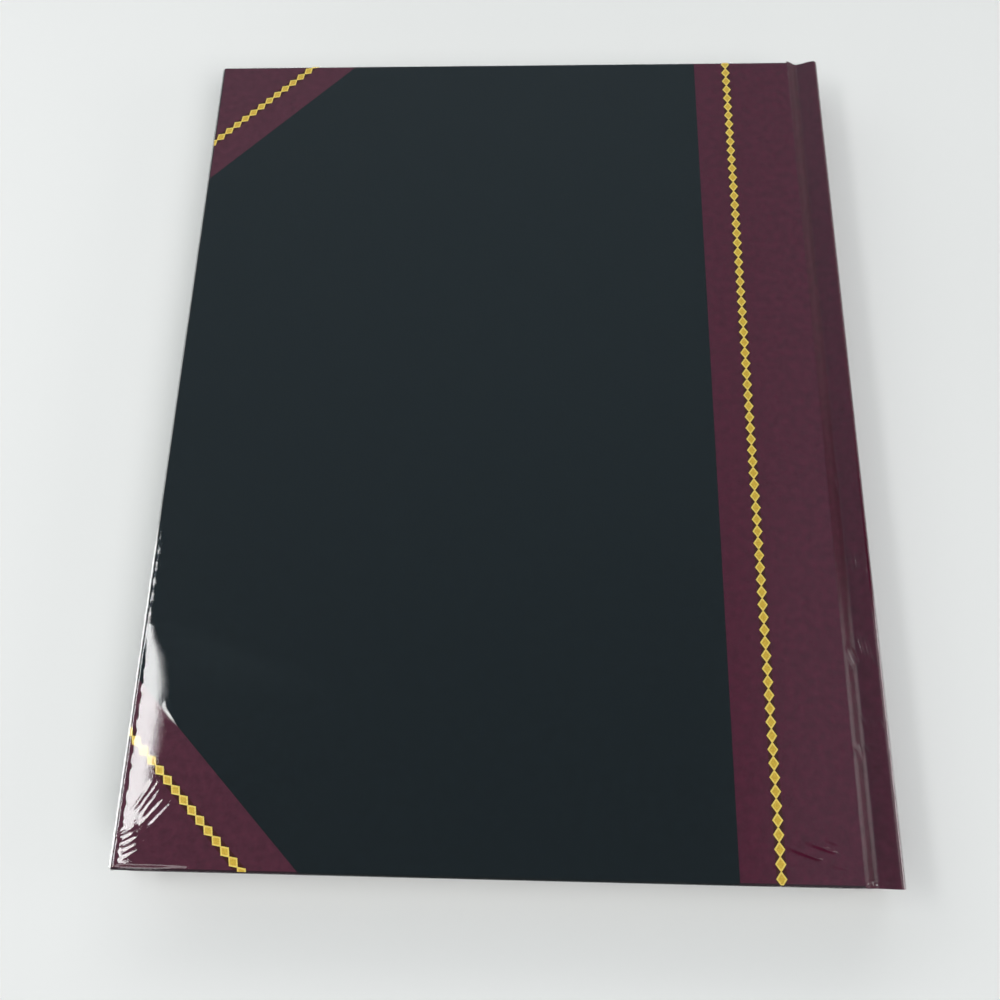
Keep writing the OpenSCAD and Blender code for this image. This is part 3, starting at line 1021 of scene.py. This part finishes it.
def crease(x, y, start, run, height, width):
    """One crease, with a wide slope to the left of its run and a steep one to the right."""
    along = ((x - start.x) * run.x + (y - start.y) * run.y) / run.length_squared
    along = np.clip(along, 0.0, 1.0)
    to_left = ((y - start.y) * run.x - (x - start.x) * run.y) / run.length
    fall = np.where(to_left > 0, to_left / width, -to_left / (0.3 * width))
    past = np.hypot(x - start.x - along * run.x, y - start.y - along * run.y) - np.abs(to_left)
    return height * np.sqrt(np.sin(math.pi * along)) * np.clip(1 - fall, 0, 1) * (past < 1e-9)


def film_lift(x, y):
    """Height of the back film over its flat place, with its wrinkles, for arrays of places."""
    lift = fore_edge_lift(x, y)
    rng = random.Random(SEED)
    for rows, shape in ((RIDGES, ridge), (CREASES, crease)):
        for first, step, run, count, height, width in rows:
            for k in range(count):
                start = (Vector(first) + k * Vector(step)) * MM
                stretch = Vector(run) * MM * rng.uniform(0.8, 1.2)
                lift = lift + shape(x, y, start, stretch, height * MM * rng.uniform(0.7, 1.2), width * MM)
    return lift


def thickened(verts, faces, thick):
    """A closed sheet between an open surface and the same surface moved out along its normals."""
    bm = bmesh.new()
    made = [bm.verts.new(v) for v in verts]
    bm.verts.index_update()
    for face in faces:
        bm.faces.new([made[i] for i in face])
    bm.normal_update()
    count = len(verts)
    outer = [tuple(v.co + v.normal * thick) for v in bm.verts]
    skin = [tuple(i + count for i in face) for face in faces]
    for edge in bm.edges:
        if edge.is_boundary:
            loop = edge.link_loops[0]
            a, b = loop.vert.index, loop.link_loop_next.vert.index
            skin.append((b + count, a + count, a, b))
    bm.free()
    return list(verts) + outer, reversed_faces(faces) + skin


def grid_faces(rows, cols):
    """Faces of a grid whose points run along its columns first."""
    corners = [i * cols + j for i in range(rows - 1) for j in range(cols - 1)]
    return [(a, a + cols, a + cols + 1, a + 1) for a in corners]


def film_rim(xs, ys, steps=8):
    """Rim points of the flat film as (row, column, outward x, outward y), from the head round to the tail."""
    rows, cols = len(xs), len(ys)
    rim = [(i, cols - 1, 0, 1) for i in reversed(range(rows))]
    turns = [math.radians(90 * k / steps) for k in range(1, steps)]
    rim += [(0, cols - 1, -math.sin(a), math.cos(a)) for a in turns]
    rim += [(0, j, -1, 0) for j in reversed(range(cols))]
    rim += [(0, 0, -math.cos(a), -math.sin(a)) for a in turns]
    return rim + [(i, 0, 0, -1) for i in range(rows)]


def film_edge_profile(out_x, out_y, share):
    """(reach, z) of the film round the edge of a cover, facing out, down to the inside of its board.

    It is round at the head and tight elsewhere. Share varies the fold along the fore-edge.
    """
    gap = FILM_Z - COVERED_Z
    along = 1.0 if out_y > 0 else TIGHT_FOLD
    radius = FILM_EDGE_R + FILM_FOLD_R * (along * out_y ** 2 + TIGHT_FOLD * share * out_x ** 2)
    reach = CORNER_R + gap - radius
    turns = [math.radians(90 * k / 6) for k in range(7)]
    points = [(reach + radius * math.sin(a), FILM_Z - radius + radius * math.cos(a)) for a in turns]
    return points + [(points[-1][0], BOARD_IN_Z)]


def add_film_edge(verts, faces, xs, ys):
    """Adds the film round the three free edges of a cover to the points and faces of its flat part."""
    rim = film_rim(xs, ys)
    rng = random.Random(SEED)
    edges = [film_edge_profile(out_x, out_y, rng.random() ** 2) for _, _, out_x, out_y in rim]
    upper = [i * len(ys) + j for i, j, _, _ in rim]
    for level in range(len(edges[0])):
        lower = list(range(len(verts), len(verts) + len(rim)))
        for (i, j, out_x, out_y), edge in zip(rim, edges):
            reach, z = edge[level]
            verts.append((xs[i] + out_x * reach, ys[j] + out_y * reach, z))
        for k in range(len(rim) - 1):
            corners = (upper[k], lower[k], lower[k + 1], upper[k + 1])
            faces.append(tuple(dict.fromkeys(corners)))
        upper = lower


def add_cover_film(side):
    """Film over one cover and round its three free edges. The front film lies flat under the book."""
    front = side == "front"
    xs = spread(FORE_X + CORNER_R, BOARD_X, COARSE_PITCH) if front else FILM_XS
    ys = spread(-HEAD_Y, HEAD_Y, COARSE_PITCH) if front else FILM_YS
    end_y = HEAD_Y - CORNER_R
    ys = np.concatenate([[-end_y], ys[np.abs(ys) < end_y], [end_y]])
    wide, deep = np.meshgrid(xs, ys, indexing="ij")
    lift = np.zeros_like(wide) if front else film_lift(wide, deep)
    verts = [tuple(p) for p in np.stack([wide, deep, FILM_Z + lift], -1).reshape(-1, 3)]
    faces = grid_faces(len(xs), len(ys))
    add_film_edge(verts, faces, xs, ys)
    verts, faces = thickened(verts, faces, FILM_T)
    node = f"{side}_film"
    obj = make_object(f"{node}_sheet", verts, faces, [FILM], SHARP_FILM, front)
    settle(obj, f"{side}_cover", "shrink_film", node)


def add_joint_film(side):
    front = side == "front"
    profile = np.array(groove_profile(FILM_Z - COVERED_Z, FILM_SAG))
    ys = spread(-HEAD_Y, HEAD_Y, COARSE_PITCH) if front else FILM_YS
    wide, deep = np.meshgrid(profile[:, 0], ys, indexing="ij")
    lift = np.zeros_like(wide) if front else film_lift(wide, deep)
    height = profile[:, 1][:, None] + lift
    verts = [tuple(p) for p in np.stack([wide, deep, height], -1).reshape(-1, 3)]
    verts, faces = thickened(verts, grid_faces(len(profile), len(ys)), FILM_T)
    node = f"{side}_joint_film"
    obj = make_object(f"{node}_bend", verts, faces, [CLINGING_FILM], SHARP_FILM, front)
    bend(obj, f"{side}_cover", "shrink_film", HINGE_X, BOARD_X, node)


def add_spine_film():
    profile = list(reversed(spine_profile(FILM_Z - COVERED_Z)))
    verts = [tuple(p) for line in lines_grid(profile, FILM_YS) for p in line]
    verts, faces = thickened(verts, grid_faces(len(profile), len(FILM_YS)), FILM_T)
    obj = make_object("spine_film_sheet", verts, faces, [FILM], SHARP_FILM)
    settle(obj, "text_block", "shrink_film", "spine_film")


# The scene


def add_floor():
    s = Shader("floor")
    tone = s.ramp(s.noise(3.0, 2.0), [(0.3, FLOOR_DARK), (0.7, FLOOR_LIGHT)])
    s.principled(tone, 0.75, specular=0.2)
    mesh = bpy.data.meshes.new("floor")
    signs = ((-1, -1), (1, -1), (1, 1), (-1, 1))
    corners = [(x * FLOOR_REACH, y * FLOOR_REACH, -FLOOR_DROP) for x, y in signs]
    mesh.from_pydata(corners, [], [(0, 1, 2, 3)])
    mesh.materials.append(s.mat)
    floor = bpy.data.objects.new("floor", mesh)
    bpy.context.scene.collection.objects.link(floor)


def add_world():
    """A plain room: walls pale low down, bright past the head, dark to the right and tail, a dim ceiling."""
    s = Shader("studio", world=True)
    way = s.axes("Generated")
    # Each step is at a part of a unit direction, with a soft width
    to_head = s.step(way["Y"], 0.35, 0.3)
    to_right = s.step(way["X"], 0.45, 0.12)
    to_tail = s.step(s.math("MULTIPLY", way["Y"], -1.0), 0.32, 0.16)
    ceiling = s.mix(s.step(way["Y"], 0.30, 0.8), CEILING_TAIL, CEILING_HEAD)
    ceiling = s.mix(s.step(way["X"], 0.23, 0.08), ceiling, CEILING_RIGHT)
    walls = s.mix(to_head, WALL, HEAD_WALL)
    tone = s.mix(s.step(way["Z"], 0.52, 0.14), walls, ceiling)
    tone = s.mix(to_right, tone, s.mix(to_head, DARK_WALL, HEAD_RIGHT_WALL))
    tone = s.mix(to_tail, tone, DARK_WALL)
    tone = s.mix(s.step(way["Z"], 0.32, 0.2), LOW_WALL, tone)
    light = s.node("ShaderNodeBackground")
    s.link(tone, light.inputs["Color"])
    s.link(light.outputs["Background"], s.out.inputs["Surface"])
    bpy.context.scene.world = s.mat


def add_lamp(name, at, width, height, radiance):
    """A softbox aimed at the middle of the book."""
    data = bpy.data.lights.new(name, "AREA")
    data.shape = "RECTANGLE"
    data.size, data.size_y = width, height
    data.energy = radiance * math.pi * width * height
    lamp = bpy.data.objects.new(name, data)
    bpy.context.scene.collection.objects.link(lamp)
    lamp.location = at
    lamp.rotation_euler = (-Vector(at)).to_track_quat("-Z", "Y").to_euler()


def add_far_lamp(name, way, width, strength):
    """Soft light from far off, which lights the whole floor evenly."""
    data = bpy.data.lights.new(name, "SUN")
    data.angle = math.radians(width)
    data.energy = strength
    lamp = bpy.data.objects.new(name, data)
    bpy.context.scene.collection.objects.link(lamp)
    lamp.location = way
    lamp.rotation_euler = (-Vector(way)).to_track_quat("-Z", "Y").to_euler()


def add_camera():
    data = bpy.data.cameras.new("camera")
    data.sensor_width = SENSOR
    data.lens = CAMERA_LENS
    data.clip_start = CAMERA_NEAR
    camera = bpy.data.objects.new("camera", data)
    bpy.context.scene.collection.objects.link(camera)
    camera.location = CAMERA_AT
    camera.rotation_euler = Euler([math.radians(a) for a in CAMERA_TURN], "XYZ")
    bpy.context.scene.camera = camera


add_camera()
for side in ("back", "front"):
    add_covering(side)
    add_gold(side)
    add_joint_covering(side)
    add_joint_sheet(side, "joint_cloth", MULL, "mull_cloth")
    add_joint_sheet(side, "joint_endpaper", ENDPAPER, "endpaper")
    add_cover_film(side)
    add_joint_film(side)
    dress(f"{side}_board", GREYBOARD)
    dress(f"{side}_mull_wing", MULL)
    dress(f"{side}_pastedown", ENDPAPER)
add_spine()
add_spine_film()
leaf_rng = random.Random(SEED)
add_sections(leaf_rng)
add_flyleaf("back", leaf_rng)
add_flyleaf("front", leaf_rng)
add_floor()
add_world()
for name, at, width, height, radiance in LAMPS:
    add_lamp(name, at, width, height, radiance)
for name, way, width, strength in FAR_LAMPS:
    add_far_lamp(name, way, width, strength)
bpy.context.scene.view_settings.view_transform = "Standard"
